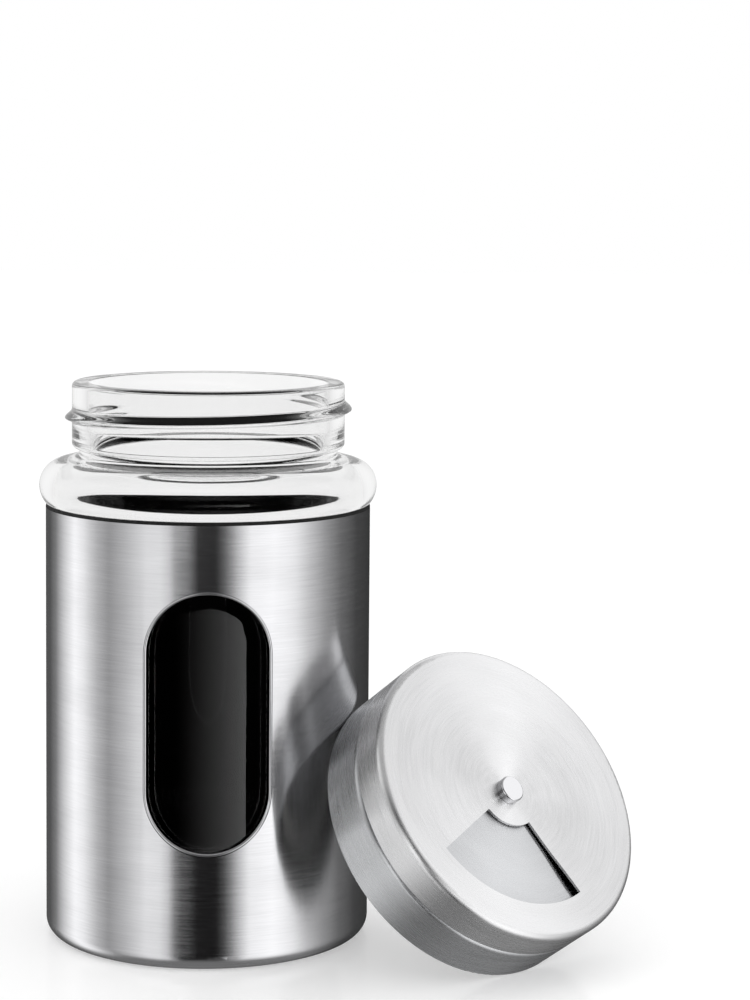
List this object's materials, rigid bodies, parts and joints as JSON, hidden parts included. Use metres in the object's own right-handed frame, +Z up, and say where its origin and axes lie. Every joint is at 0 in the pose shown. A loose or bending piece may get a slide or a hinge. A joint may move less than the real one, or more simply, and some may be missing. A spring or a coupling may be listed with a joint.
{
  "type": "spice shaker dispenser",
  "caption": "Glass spice jar in a windowed steel sleeve, with its screw cap off and leaning on it; the cap's top is a dial with a slice-shaped opening over a sifting deck.",
  "frame": {"origin": "centre of the sleeve's flat base, on the floor", "axes": "+Z up along the jar's axis; the sleeve's window faces -Y; the cap leans on the sleeve at +X and -Y"},
  "size_m": [0.1081, 0.081, 0.1026],
  "materials": {
    "clear_glass": "clear, polished",
    "brushed_steel": "stainless, brushed round the can",
    "black_rubber": "matt black",
    "pressed_steel": "stainless, fine circular brushing",
    "insert_plastic": "matt black",
    "seal_rubber": "soft white",
    "slip_plastic": "natural nylon",
    "spring_steel": "plain bright",
    "polished_steel": "polished",
    "dial_steel": "stainless, circular brushing"
  },
  "bodies": {
    "jar": {"glass_jar": "clear_glass", "steel_sleeve": "brushed_steel", "shoulder_ring": "black_rubber"},
    "cap": {"cap_shell": "pressed_steel", "thread_insert": "insert_plastic", "rim_seal": "seal_rubber", "spacer_washer": "slip_plastic", "spring_washer": "spring_steel", "backing_washer": "spring_steel", "pivot_rivet": "polished_steel"},
    "dial": {"dial_cap": "dial_steel"}
  },
  "joints": [
    {"name": "cap_lift", "type": "slide", "parent": "jar", "child": "cap", "axis": [0.5233, -0.6236, 0.5807], "range_m": [0, 0.08]},
    {"name": "dial_turn", "type": "hinge", "parent": "cap", "child": "dial", "pos_m": [0.05303, -0.02781, 0.03169], "axis": [0.5233, -0.6236, 0.5807], "continuous": true}
  ]
}
